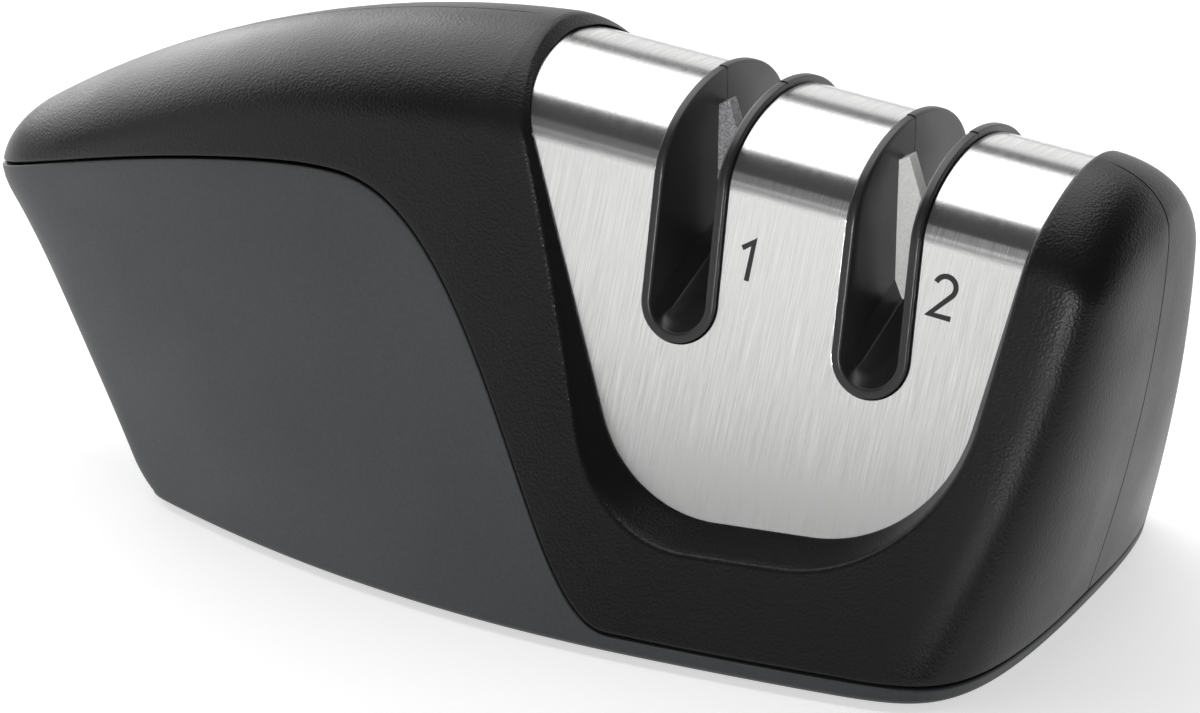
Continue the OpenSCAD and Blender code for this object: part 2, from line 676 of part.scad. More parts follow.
// Base plate, inside the strip of the grip moulding
plate_n = 24;
plate_gap = wall + base_clear;
plate_x0 = bow_x(0) + 1.5 * plate_gap;
plate_x1 = toe_x - 1.5 * plate_gap;
function plate_w(x) = min([for (d = [-plate_gap, 0, plate_gap], z = [0, base_top]) body_w(x + d, z)])
    - plate_gap;
function plate_x(i) = mix(plate_x0, plate_x1, (1 - cos(180 * i / plate_n)) / 2);
module base_plate() {
    side = [for (i = [0:plate_n]) [plate_x(i), plate_w(plate_x(i))]];
    color(shell_black) placed() difference() {
        translate([0, 0, base_inset]) linear_extrude(plate_base_t)
            polygon(concat(side, [for (i = [plate_n:-1:0]) [side[i][0], -side[i][1]]]));
        for (p = concat(frame_screw_at, cradle_screw_at, rib_screw_at)) screw_bore(p);
        for (p = foot_at) translate([p[0], p[1], base_inset + foot_inset - far])
            cylinder(d = foot_d + 2 * fit, h = far);
    }
}

module coarse_guide_front() {
    color(shell_black) placed() guide_half(coarse_x, -1);
}

module coarse_guide_rear() {
    color(shell_black) placed() guide_half(coarse_x, 1);
}

module fine_guide_front() {
    color(shell_black) placed() guide_half(fine_x, -1);
}

module fine_guide_rear() {
    color(shell_black) placed() guide_half(fine_x, 1);
}

module coarse_left_plate() {
    color(carbide) placed() abrasive(coarse_x, -1);
}

module coarse_right_plate() {
    color(carbide) placed() abrasive(coarse_x, 1);
}

module fine_left_plate() {
    color(ceramic) placed() abrasive(fine_x, -1);
}

module fine_right_plate() {
    color(ceramic) placed() abrasive(fine_x, 1);
}

module coarse_cradle() {
    color(inner_black) placed() cradle(coarse_x);
}

module fine_cradle() {
    color(inner_black) placed() cradle(fine_x);
}

module coarse_pin() {
    color(zinc) placed() pin_bore(coarse_x, 0);
}

module fine_pin() {
    color(zinc) placed() pin_bore(fine_x, 0);
}

module frame_screws() {
    color(zinc) placed() for (p = frame_screw_at) screw(p);
}

module cradle_screws() {
    color(zinc) placed() for (p = cradle_screw_at) screw(p);
}

module rib_screws() {
    color(zinc) placed() for (p = rib_screw_at) screw(p);
}

module rubber_feet() {
    color(rubber) placed() for (p = foot_at) translate([p[0], p[1], -foot_proud])
        cylinder(d = foot_d, h = foot_proud + base_inset + foot_inset);
}

front_shell();
rear_shell();
grip_moulding();
steel_cover();
coarse_guide_front();
coarse_guide_rear();
fine_guide_front();
fine_guide_rear();
coarse_left_plate();
coarse_right_plate();
fine_left_plate();
fine_right_plate();
coarse_cradle();
fine_cradle();
coarse_pin();
fine_pin();
inner_frame();
grip_rib();
base_plate();
frame_screws();
cradle_screws();
rib_screws();
rubber_feet();
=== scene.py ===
"""Looks of the two-stage knife sharpener. Sizes are in millimetres until a piece is placed."""

import math

import bpy
import numpy as np
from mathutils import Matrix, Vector
from mathutils.geometry import delaunay_2d_cdt


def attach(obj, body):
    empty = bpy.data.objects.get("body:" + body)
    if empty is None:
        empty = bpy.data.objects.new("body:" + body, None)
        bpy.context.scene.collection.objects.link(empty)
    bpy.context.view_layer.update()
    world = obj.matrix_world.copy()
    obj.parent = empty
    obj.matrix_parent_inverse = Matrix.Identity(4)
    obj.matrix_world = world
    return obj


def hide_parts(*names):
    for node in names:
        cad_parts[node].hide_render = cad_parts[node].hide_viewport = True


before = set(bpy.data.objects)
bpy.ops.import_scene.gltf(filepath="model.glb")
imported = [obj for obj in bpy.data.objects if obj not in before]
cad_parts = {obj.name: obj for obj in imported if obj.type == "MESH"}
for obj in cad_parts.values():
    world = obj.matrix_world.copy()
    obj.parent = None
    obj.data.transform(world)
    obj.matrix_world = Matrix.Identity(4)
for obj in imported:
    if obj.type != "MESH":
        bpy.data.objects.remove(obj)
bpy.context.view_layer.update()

scene = bpy.context.scene
MM = 0.001
tiny = 1e-12

# Camera of the photograph
eye = (216.7, -411.0, 189.4)
target = (7.3, 0.0, 21.5)
lens = 120.0
sensor = 36.0

# Sizes of the body, its window, the slots and the guides
body_l = 158.8
end_x = 80.0
base_half_w = 37.6
widest_x = 30.0
taper_r = 165.0
front_r = 420.0
heel_x = -49.0
heel_r = 3.5
toe_x = 71.7
crest_z = 63.2
collar_x = 2.0
grip_crest_r = 146.0
tip_z = 34.4
nose_l = 8.0
end_z = 46.8
end_corner_l = 10.0
deck_tilt = math.radians(6.7)
shoulder_half_w = 17.6
shoulder_drop = 9.5
shoulder_r = 400.0
wall = 1.5
strip_h = 1.8
part_z = 45.9
part_top_x = -22.0
part_dive_x = -20.5
part_end_x = 27.4
groove = 0.3
seam_gap = 0.1
recess = 1.6
arch_half_w = 16.28
arch_drop = 8.0
arch_side_power = 2.2
side_slope = math.radians(12.5)
window_left_x = 4.2
window_low_left_x = 24.0
window_low_z = 12.4
window_low_right_x = 62.0
window_rise = 1.0
window_right_x = 70.2
window_left_r = 16.0
window_right_r = 19.0
bevel_side = 1.4
bevel_right = 2.6
bevel_low = 1.6
bevel_crest = 1.8
coarse_x = 28.0
stage_pitch = 24.0
slot_w = 9.2
slot_low_w = 9.4
slot_depth = 26.3
rim_w = 1.2
rim_proud = 0.75
floor_rise = math.radians(19.0)
floor_side = math.tan(math.radians(22.0))
floor_bank = math.tan(math.radians(68.0))
crease_off = 2.4
fit = 0.12
foot_proud = 0.8

tip_x = end_x - body_l
middle_x = end_x - body_l / 2
fine_x = coarse_x + stage_pitch
deck_slope = math.tan(deck_tilt)
steel_crest_z = crest_z - recess

# Shape constants of the body's surface
plan_power = 3.8
nose_power = 2
end_power = 1.68
corner_power = 2.2
arch_power = 1.8
rise_power = 1.5
dive_power = 1.25
cap_low_l = 22.0
cap_top_l = 9.0
bow_low_l = 7.0
bow_tip_l = 70.0
bow_power = 4.0
flare = 0.25


def mix(a, b, t):
    return a + (b - a) * t


def clamp(t):
    return min(1.0, max(0.0, t))


def smooth(t):
    u = clamp(t)
    return u * u * (3 - 2 * u)


def ease(t):
    return 1 - (1 - t) ** 2


def nose(u, power):
    return 1 - (1 - clamp(u) ** power) ** (1 / power)


def round_end(e):
    return 1 - (1 - math.sqrt(clamp(e))) ** plan_power


def unit(v):
    return v / np.linalg.norm(v)


# Crest line, end outlines and half width of the body
def deck_z(x):
    return crest_z - (x - collar_x) * deck_slope


def arc_z(x):
    return crest_z - grip_crest_r + math.sqrt(grip_crest_r**2 - (x - collar_x) ** 2)


def crest(x):
    if x < collar_x:
        return arc_z(x) - (arc_z(tip_x) - tip_z) * nose((tip_x + nose_l - x) / nose_l, nose_power)
    fall = nose((x - end_x + end_corner_l) / end_corner_l, corner_power)
    return deck_z(x) - (deck_z(end_x) - end_z) * fall


def heel(z):
    return heel_r - math.sqrt(heel_r**2 - (heel_r - z) ** 2) if z < heel_r else 0.0


def bow_x(z):
    return mix(heel_x, tip_x, clamp(z / tip_z)) + heel(z)


def bow_l(z):
    return mix(bow_low_l, bow_tip_l, clamp(z / tip_z) ** bow_power)


def cap_x(z):
    return mix(toe_x, end_x, 1 - (1 - clamp(z / end_z)) ** end_power)


def base_w(x):
    return base_half_w - (x - widest_x) ** 2 / (2 * (taper_r if x < widest_x else front_r))


def shoulder_w(x):
    return shoulder_half_w - min(0.0, x - collar_x) ** 2 / (2 * shoulder_r)


def front_w(x, z):
    low = crest(x) - shoulder_drop
    s = shoulder_w(x)
    spread = base_w(x) - s
    if z <= low:
        u = 1 - z / low
        return s + spread * mix(u, u * u, flare)
    h = clamp((z - low) / shoulder_drop)
    lean = spread * (1 - flare) / low
    return (s - lean * h * shoulder_drop) * math.sqrt(max(0.0, 1 - h**arch_power))


def body_w(x, z):
    cap_l = mix(cap_low_l, cap_top_l, clamp(z / end_z))
    return front_w(x, z) * round_end((cap_x(z) - x) / cap_l) * round_end((x - bow_x(z)) / bow_l(z))


def part_line(x):
    if x < part_dive_x:
        share = clamp((part_top_x - x) / (part_top_x - tip_x))
        return part_z - (part_z - tip_z) * share**rise_power
    dive = clamp((x - part_dive_x) / (part_end_x - part_dive_x))
    return mix(part_z, strip_h, smooth(dive**dive_power))


# Arch of the steel, in the tilted axes of the deck
arch_k = math.tan(side_slope)
arch_step = 0.02


def arch_w(d):
    if d < arch_drop:
        rise = math.sqrt(max(0.0, 1 - (1 - d / arch_drop) ** arch_side_power))
        return (arch_half_w - arch_k * (arch_drop - d)) * rise
    return arch_half_w + arch_k * (d - arch_drop)


def arch_normal(d):
    if d < arch_step:
        return np.array([0.0, 1.0])
    out = arch_w(d + arch_step) - arch_w(d - arch_step)
    return unit(np.array([2 * arch_step, out]))


def steel_z(x):
    return steel_crest_z - (x - collar_x) * deck_slope


def to_deck(x, z):
    dx, dz = x - collar_x, z - steel_crest_z
    c, s = math.cos(deck_tilt), math.sin(deck_tilt)
    return dx * c - dz * s, -(dx * s + dz * c)


def from_deck(along, y, up):
    c, s = math.cos(deck_tilt), math.sin(deck_tilt)
    return np.array([collar_x + along * c + up * s, y, steel_crest_z - along * s + up * c])


def on_arch(x, z, off):
    """Front point of the arch above a side-view place, moved out along the arch's normal."""
    along, d = to_deck(x, z)
    d = max(0.0, d)
    n = arch_normal(d)
    return from_deck(along, -(arch_w(d) + off * n[0]), -d + off * n[1])


# Columns and rows of the shell's surface
grip_n = 80
left_n = 70
round_n = 25
low_n = 30
right_n = 55
row_n = 46
collar_n = 25
nose_step = 0.1
nose_first = 0.06
grip_step_power = 1.7
crest_lag = 14.0
lag_from_x = -42.0
fan_x = 56.0
cap_share = 0.7
cap_step_power = 1.5


def corner(a, b, c, r, n):
    u, v = unit(a - b), unit(c - b)
    half = math.acos(float(u @ v)) / 2
    o = b + unit(u + v) * r / math.sin(half)
    t = b + u * r / math.tan(half) - o
    turn = -math.copysign((math.pi - 2 * half) / n, u[0] * v[1] - u[1] * v[0])
    return [
        o + np.array([t[0] * math.cos(g) - t[1] * math.sin(g), t[0] * math.sin(g) + t[1] * math.cos(g)])
        for g in (turn * i for i in range(n + 1))
    ]


def outline(top_left, low_left, low_right, top_right, left_r, right_r):
    points = [np.array(p, float) for p in (top_left, low_left, low_right, top_right)]
    left = corner(points[0], points[1], points[2], left_r, round_n)
    right = corner(points[1], points[2], points[3], right_r, round_n)
    fall = [mix(points[0], left[0], (i / left_n) ** 2) for i in range(left_n)]
    low = [mix(left[-1], right[0], i / low_n) for i in range(low_n)]
    climb = [mix(points[3], right[-1], (1 - i / right_n) ** 2) for i in range(right_n)]
    return fall + left[:-1] + low + right[:-1] + climb + [points[3]]


window_low_right_z = window_low_z + window_rise
edge = outline(
    (window_left_x, steel_z(window_left_x)),
    (window_low_left_x, window_low_z),
    (window_low_right_x, window_low_right_z),
    (window_right_x, steel_z(window_right_x)),
    window_left_r,
    window_right_r,
)
bevel_left_x = window_left_x - bevel_crest
bevel_right_x = window_right_x + bevel_crest / 2
bevel = outline(
    (bevel_left_x, crest(bevel_left_x)),
    (window_low_left_x - bevel_side, window_low_z - bevel_low),
    (window_low_right_x + bevel_right, window_low_right_z - bevel_low),
    (bevel_right_x, crest(bevel_right_x)),
    window_left_r + bevel_side,
    window_right_r + bevel_right,
)
edge_n = len(edge)
col_n = grip_n + edge_n
turn_k = left_n + round_n
fan_k = turn_k + low_n
grip_end_x = bevel_left_x - crest_lag


def grip_x(i):
    return mix(tip_x + nose_step, bevel_left_x, (i / grip_n) ** grip_step_power)


def fan_t(k):
    return clamp((k - fan_k) / (edge_n - 1 - fan_k))


def foot_x(i):
    if i == 0:
        return tip_x
    if i < grip_n:
        x = grip_x(i)
        return x - crest_lag * smooth((x - lag_from_x) / (bevel_left_x - lag_from_x))
    k = i - grip_n
    if k <= turn_k:
        return mix(grip_end_x, part_end_x, k / turn_k)
    if k <= fan_k:
        return mix(part_end_x, fan_x, (k - turn_k) / low_n)
    return mix(fan_x, cap_x(strip_h), ease(fan_t(k)))


def cap_side(t, z0):
    if t < cap_share:
        z = mix(z0, end_z, t / cap_share)
        return np.array([cap_x(z), z])
    x = mix(end_x, bevel_right_x, ((t - cap_share) / (1 - cap_share)) ** cap_step_power)
    return np.array([x, crest(x)])


def shell_side(i, t, lift):
    x = foot_x(i)
    z0 = part_line(x) + lift
    if i == 0:
        x = tip_x + mix(nose_first, nose_step, t * t)
        return np.array([x, crest(x)])
    foot = np.array([x, z0])
    if i < grip_n:
        top = grip_x(i)
        return mix(foot, np.array([top, crest(top)]), ease(t))
    k = i - grip_n
    bulge = cap_side(t, z0) - mix(cap_side(0, z0), cap_side(1, z0), t)
    return mix(foot, bevel[k], mix(ease(t), t, clamp(k / collar_n))) + bulge * ease(fan_t(k))


def grid_normals(g):
    a = np.gradient(g, axis=0)
    b = np.gradient(g, axis=1)
    n = np.cross(a, b)
    return n / np.maximum(np.linalg.norm(n, axis=2, keepdims=True), tiny)


def rounded_edge(point, normal, out, radius, steps, depth):
    """Points that turn a surface's edge inwards: a quarter round, then straight in."""
    centre = point - normal * radius
    arc = [
        centre + radius * (normal * math.cos(a) + out * math.sin(a))
        for a in (math.pi / 2 * i / steps for i in range(1, steps + 1))
    ]
    return arc + [arc[-1] - normal * depth]


edge_r = 0.3
edge_steps = 4
seam_r = 0.12
seam_steps = 3
seam_fade = 3
seam_y = -seam_gap / 2 - seam_r
seam_centre = np.array([0.0, 0.0, 20.0])
lip_gap = 0.3
lip_share = 0.4
crown_step = 0.16
crown_steps = 5
band_steps = 6
lip_steps = 3
lip_r = 0.2
probe = 0.02


def shell_grid():
    """Grid of the front shell: the turned-in foot, then the outside up to the crest and the bevel's
    outer line.
    """
    lift = groove / 2 + edge_r
    skin = np.zeros((col_n, row_n + 1, 3))
    for i in range(col_n):
        for j in range(row_n + 1):
            x, z = shell_side(i, j / row_n, lift)
            y = min(-body_w(x, z), seam_y)
            if i in (0, col_n - 1) or (j == row_n and i <= grip_n):
                y = seam_y * clamp((grip_n - i if i <= grip_n else row_n - j) / seam_fade)
            skin[i, j] = (x, y, z)
    normals = grid_normals(skin)
    columns = []
    for i in range(col_n):
        n = normals[i, 0].copy()
        out = skin[i, 0] - skin[i, 1]
        if i in (0, col_n - 1):
            n[1] = 0
        n = unit(n)
        out = unit(out - n * (out @ n))
        foot = rounded_edge(skin[i, 0], n, out, edge_r, edge_steps, wall - edge_r)[::-1]
        if i in (0, col_n - 1):
            foot = [np.array([p[0], seam_y, p[2]]) for p in foot]
        columns.append(foot + list(skin[i]))
    return columns


def seam_edges(columns):
    """Soft edges of the middle seam, turned in, along the crest of the grip and down the end cap."""
    foot_n = len(columns[0]) - row_n - 1
    crest_line = [columns[0][foot_n]] + [column[-1] for column in columns[: grip_n + 1]]
    made = []
    for line in (crest_line, columns[-1][foot_n:]):
        tangents = np.gradient(np.array(line), axis=0)
        edges = []
        for p, t in zip(line, tangents):
            n = unit(np.array([-t[2], 0.0, t[0]]))
            n = n if n @ (p - seam_centre) > 0 else -n
            edges.append([p] + rounded_edge(p, n, np.array([0.0, 1.0, 0.0]), seam_r, seam_steps, wall))
        made.append(edges)
    return made


def body_normal(x, z):
    across = body_w(x + probe, z - probe) - body_w(x - probe, z - probe)
    up = body_w(x, z) - body_w(x, z - 2 * probe)
    return unit(np.array([-across, -2 * probe, -up]))


def bend_round(start, corner_point, end, steps):
    """Points of a soft corner after its start."""
    return [
        (1 - t) ** 2 * start + 2 * t * (1 - t) * corner_point + t * t * end
        for t in (i / steps for i in range(1, steps + 1))
    ]


def bevel_rows(columns):
    """Rows of the bevel round the window: rounded brow, sloped band, then the lip over the steel."""
    brows = [column[-1] for column in columns[grip_n:]]
    rows = []
    for k in range(edge_n):
        seam = k in (0, edge_n - 1)
        brow = brows[k]
        low = on_arch(edge[k][0], edge[k][1], lip_gap)
        inner = on_arch(*mix(edge[k], bevel[k], lip_share), lip_gap)
        along = brows[min(k + 1, edge_n - 1)] - brows[max(k - 1, 0)]
        normal = body_normal(*bevel[k])
        if seam:
            low[1] = inner[1] = 0.0
            along = np.array([0.0, 1.0, 0.0])
            normal[1] = 0
        side = unit(np.cross(along, normal))
        ahead = side if side @ (low - brow) > 0 else -side
        band = unit(low - brow)
        point = brow
        crown = []
        for i in range(crown_steps):
            point = point + unit(mix(ahead, band, (i + 1) / (crown_steps + 1))) * crown_step
            crown.append(point)
        stop = low - unit(low - point) * lip_r
        face = [mix(point, stop, (i + 1) / band_steps) for i in range(band_steps)]
        lip = bend_round(stop, low, low + unit(inner - low) * lip_r, lip_steps)
        rows.append([brow] + crown + face + lip + [inner])
    return rows


# Meshes and placing
def place(p):
    return (float((p[0] - middle_x) * MM), float(p[1] * MM), float((p[2] + foot_proud) * MM))


def add_piece(name, points, faces, nodes, material):
    mesh = bpy.data.meshes.new(name)
    mesh.from_pydata([place(p) for p in points], [], faces)
    mesh.polygons.foreach_set("use_smooth", [True] * len(mesh.polygons))
    mesh.update()
    piece = bpy.data.objects.new(name, mesh)
    scene.collection.objects.link(piece)
    piece.data.materials.append(material)
    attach(piece, "root")
    if nodes:
        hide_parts(*nodes)
    return piece


def strip_faces(first, second, closed=False):
    """Quads between two rows of point numbers."""
    n = len(first)
    return [
        (first[i], first[(i + 1) % n], second[(i + 1) % n], second[i])
        for i in range(n if closed else n - 1)
    ]


class Skin:
    """A mesh in the making, from rows of points."""

    def __init__(self):
        self.points = []
        self.faces = []

    def row(self, points):
        start = len(self.points)
        self.points.extend(points)
        return list(range(start, len(self.points)))

    def loft(self, rows, flip, closed=False):
        for a, b in zip(rows, rows[1:]):
            for face in strip_faces(a, b, closed):
                self.faces.append(face[::-1] if flip else face)


def mirrored(points):
    return [np.array([p[0], -p[1], p[2]]) for p in points]


# Materials
def new_material(name):
    material = bpy.data.materials.new(name)
    material.use_nodes = True
    tree = material.node_tree
    return material, tree, tree.nodes["Principled BSDF"]


def add_node(tree, kind, **values):
    made = tree.nodes.new(kind)
    for key, value in values.items():
        if key in made.inputs:
            made.inputs[key].default_value = value
        else:
            setattr(made, key, value)
    return made


def object_noise(tree, scale, detail, roughness, stretch=(1, 1, 1)):
    place_node = add_node(tree, "ShaderNodeTexCoord")
    mapping = add_node(tree, "ShaderNodeMapping")
    mapping.inputs["Scale"].default_value = stretch
    tree.links.new(place_node.outputs["Object"], mapping.inputs["Vector"])
    made = add_node(tree, "ShaderNodeTexNoise", Scale=scale, Detail=detail, Roughness=roughness)
    tree.links.new(mapping.outputs["Vector"], made.inputs["Vector"])
    return made


def ramp(tree, source, low, high, start=0.35, stop=0.65):
    """Colour ramp between two greys or colours over part of a noise's range."""
    made = add_node(tree, "ShaderNodeValToRGB")
    made.color_ramp.elements[0].position = start
    made.color_ramp.elements[1].position = stop
    made.color_ramp.elements[0].color = low
    made.color_ramp.elements[1].color = high
    tree.links.new(source, made.inputs["Fac"])
    return made


def grey(value):
    return (value, value, value, 1.0)


def add_bump(tree, shader, source, distance, strength):
    bump = add_node(tree, "ShaderNodeBump", Strength=strength, Distance=distance)
    tree.links.new(source, bump.inputs["Height"])
    tree.links.new(bump.outputs["Normal"], shader.inputs["Normal"])


cloud_scale = 45.0
gloss_vary = 0.06
tone_vary = 0.12


def moulded(name, colour, rough, grain_scale, grain_depth, strength, specular=0.5):
    """Moulded plastic with a fine grain and slightly uneven gloss."""
    material, tree, shader = new_material(name)
    shader.inputs["Specular IOR Level"].default_value = specular
    grain = object_noise(tree, grain_scale, 3.0, 0.6)
    add_bump(tree, shader, grain.outputs["Fac"], grain_depth * MM, strength)
    cloud = object_noise(tree, cloud_scale, 3.0, 0.55)
    gloss = ramp(tree, cloud.outputs["Fac"], grey(rough - gloss_vary), grey(rough + gloss_vary))
    tree.links.new(gloss.outputs["Color"], shader.inputs["Roughness"])
    dark = tuple(c * (1 - tone_vary) for c in colour) + (1.0,)
    light = tuple(c * (1 + tone_vary) for c in colour) + (1.0,)
    tone = ramp(tree, grain.outputs["Fac"], dark, light)
    tree.links.new(tone.outputs["Color"], shader.inputs["Base Color"])
    return material


pebble_scale = 3000.0
pebble_depth = 0.07
pore_scale = 3600.0
pore_share = 0.5
patch_scale = 60.0
shell_specular = 0.34


def leather_black():
    """Black plastic with a fine pebbled grain."""
    material, tree, shader = new_material("shell_black")
    shader.inputs["Specular IOR Level"].default_value = shell_specular
    place_node = add_node(tree, "ShaderNodeTexCoord")
    cells = add_node(
        tree, "ShaderNodeTexVoronoi", feature="SMOOTH_F1", Scale=pebble_scale, Smoothness=0.35
    )
    tree.links.new(place_node.outputs["Object"], cells.inputs["Vector"])
    fine = object_noise(tree, pore_scale, 2.0, 0.6)
    height = add_node(tree, "ShaderNodeMath", operation="MULTIPLY_ADD")
    height.inputs[1].default_value = pore_share
    tree.links.new(fine.outputs["Fac"], height.inputs[0])
    tree.links.new(cells.outputs["Distance"], height.inputs[2])
    add_bump(tree, shader, height.outputs["Value"], pebble_depth * MM, 0.5)
    cloud = object_noise(tree, patch_scale, 3.0, 0.55)
    gloss = ramp(tree, cloud.outputs["Fac"], grey(0.33), grey(0.41))
    tree.links.new(gloss.outputs["Color"], shader.inputs["Roughness"])
    tone = ramp(tree, fine.outputs["Fac"], (0.004, 0.004, 0.0044, 1), (0.007, 0.007, 0.0077, 1))
    tree.links.new(tone.outputs["Color"], shader.inputs["Base Color"])
    return material


streak_scale = 5.0
streak_stretch = (1.0, 0.02, 1.0)
streak_depth = 0.012


def brushed_steel():
    """Steel sheet brushed up and down the front, across the bend."""
    material, tree, shader = new_material("steel")
    shader.inputs["Metallic"].default_value = 1.0
    shader.inputs["Anisotropic"].default_value = 0.85
    pattern = add_node(tree, "ShaderNodeUVMap", uv_map="sheet")
    mapping = add_node(tree, "ShaderNodeMapping")
    mapping.inputs["Scale"].default_value = streak_stretch
    tree.links.new(pattern.outputs["UV"], mapping.inputs["Vector"])
    streak = add_node(tree, "ShaderNodeTexNoise", Scale=streak_scale, Detail=5.0, Roughness=0.7)
    tree.links.new(mapping.outputs["Vector"], streak.inputs["Vector"])
    tangent = add_node(tree, "ShaderNodeTangent", direction_type="UV_MAP", uv_map="sheet")
    tree.links.new(tangent.outputs["Tangent"], shader.inputs["Tangent"])
    tone = ramp(tree, streak.outputs["Fac"], (0.60, 0.60, 0.595, 1), (0.73, 0.73, 0.725, 1))
    tree.links.new(tone.outputs["Color"], shader.inputs["Base Color"])
    gloss = ramp(tree, streak.outputs["Fac"], grey(0.27), grey(0.17))
    tree.links.new(gloss.outputs["Color"], shader.inputs["Roughness"])
    add_bump(tree, shader, streak.outputs["Fac"], streak_depth * MM, 0.35)
    return material


grit_depth = 0.04
grit_vary = 0.1


def abrasive(name, low, high, grit, rough, metallic):
    """Pressed abrasive: a speckle of grains with a rough face."""
    material, tree, shader = new_material(name)
    shader.inputs["Metallic"].default_value = metallic
    place_node = add_node(tree, "ShaderNodeTexCoord")
    grains = add_node(tree, "ShaderNodeTexVoronoi", Scale=grit)
    tree.links.new(place_node.outputs["Object"], grains.inputs["Vector"])
    cloud = object_noise(tree, grit / 4, 4.0, 0.65)
    tone = ramp(tree, grains.outputs["Color"], low, high, 0.2, 0.8)
    tree.links.new(tone.outputs["Color"], shader.inputs["Base Color"])
    gloss = ramp(tree, cloud.outputs["Fac"], grey(rough - grit_vary), grey(rough + grit_vary))
    tree.links.new(gloss.outputs["Color"], shader.inputs["Roughness"])
    add_bump(tree, shader, grains.outputs["Distance"], grit_depth * MM, 0.5)
    return material


zinc_cloud_scale = 400.0
scratch_scale = 900.0
scratch_depth = 0.01


def plated(name):
    """Zinc-plated screw steel with a cloudy finish."""
    material, tree, shader = new_material(name)
    shader.inputs["Metallic"].default_value = 1.0
    cloud = object_noise(tree, zinc_cloud_scale, 4.0, 0.6)
    tone = ramp(tree, cloud.outputs["Fac"], (0.42, 0.43, 0.45, 1), (0.58, 0.59, 0.60, 1))
    tree.links.new(tone.outputs["Color"], shader.inputs["Base Color"])
    gloss = ramp(tree, cloud.outputs["Fac"], grey(0.25), grey(0.42))
    tree.links.new(gloss.outputs["Color"], shader.inputs["Roughness"])
    scratch = object_noise(tree, scratch_scale, 2.0, 0.5, (1, 8, 1))
    add_bump(tree, shader, scratch.outputs["Fac"], scratch_depth * MM, 0.2)
    return material


black = leather_black()
grip_grey = moulded("grip_grey", (0.062, 0.065, 0.068), 0.5, 3200.0, 0.02, 0.15)
guide_black = moulded("guide_black", (0.020, 0.020, 0.021), 0.34, 1800.0, 0.02, 0.2)
inner_black = moulded("inner_black", (0.022, 0.022, 0.024), 0.5, 1500.0, 0.03, 0.3)
base_black = moulded("base_black", (0.018, 0.018, 0.019), 0.55, 1100.0, 0.05, 0.4)
rubber = moulded("rubber", (0.016, 0.016, 0.016), 0.8, 2200.0, 0.03, 0.4, specular=0.3)
print_black = moulded("print_black", (0.012, 0.012, 0.013), 0.42, 3000.0, 0.01, 0.15)
carbide = abrasive("carbide", (0.24, 0.24, 0.25, 1), (0.56, 0.56, 0.575, 1), 5200.0, 0.42, 0.25)
ceramic = abrasive("ceramic", (0.82, 0.815, 0.80, 1), (0.92, 0.915, 0.90, 1), 4200.0, 0.45, 0.0)
zinc = plated("zinc")
steel = brushed_steel()

# Shells
columns = shell_grid()
bevels = bevel_rows(columns)
crest_seam, end_seam = seam_edges(columns)


def build_shell(name, node, flip):
    skin = Skin()
    turn = mirrored if flip else list
    skin.loft([skin.row(turn(column)) for column in columns], not flip)
    skin.loft([skin.row(turn(row)) for row in bevels], not flip)
    skin.loft([skin.row(turn(row)) for row in crest_seam], not flip)
    skin.loft([skin.row(turn(row)) for row in end_seam], not flip)
    add_piece(name, skin.points, skin.faces, [node], black)


build_shell("shell_front_skin", "front_shell", False)
build_shell("shell_rear_skin", "rear_shell", True)

# Grip moulding
heel_power = 1.7
grip_rows = 40
grip_row_power = 1.3
low_r = 0.5
# Half width of the ends, where the edges turn in along the length
end_flat_y = 0.5


def heel_share(x):
    return 0.0 if x > 0 else 1 - ((x - tip_x) / -tip_x) ** heel_power


def base_x(x):
    return x if x > 0 else heel_x * heel_share(x)


def grip_point(i, t):
    x = foot_x(i)
    top = part_line(x) - groove / 2
    z = mix(low_r, top - edge_r, t)
    if i == 0:
        return np.array([bow_x(z), 0.0, z])
    if i == col_n - 1:
        return np.array([cap_x(z), 0.0, z])
    if x > fan_x:
        x = mix(fan_x, cap_x(z), (x - fan_x) / (cap_x(strip_h) - fan_x))
    else:
        x = mix(base_x(x), x, z / top) + heel(z) * heel_share(x)
    return np.array([x, -body_w(x, z), z])


def grip_columns():
    """Columns of the front half, with both edges turned in. The upper edge is level along the strip."""
    shares = [(j / grip_rows) ** grip_row_power for j in range(grip_rows + 1)]
    skin = np.array([[grip_point(i, t) for t in shares] for i in range(col_n)])
    normals = grid_normals(skin)
    made = []
    for i in range(col_n):
        ends = []
        for j, step in ((0, 1), (grip_rows, -1)):
            level = 1.0 if j == 0 else smooth((foot_x(i) - grip_end_x) / (part_end_x - grip_end_x))
            n = normals[i, j] * (1, 1, 1 - level)
            out = mix(unit(skin[i, j] - skin[i, j + step]), np.array([0.0, 0.0, -step]), level)
            if abs(skin[i, j][1]) < end_flat_y:
                n = np.array([-1.0 if i < col_n / 2 else 1.0, 0.0, 0.0])
            n = unit(n)
            out = unit(out - n * (out @ n))
            r = edge_r if j else low_r
            ends.append(rounded_edge(skin[i, j], n, out, r, edge_steps, wall - r))
        made.append(ends[0][::-1] + list(skin[i]) + ends[1])
    return made


def build_grip():
    skin = Skin()
    half = grip_columns()
    loop = half + [mirrored(column) for column in half[-2:0:-1]]
    rows = [skin.row(column) for column in loop]
    skin.loft(rows + rows[:1], True)
    add_piece("grip_skin", skin.points, skin.faces, ["grip_moulding"], grip_grey)


build_grip()

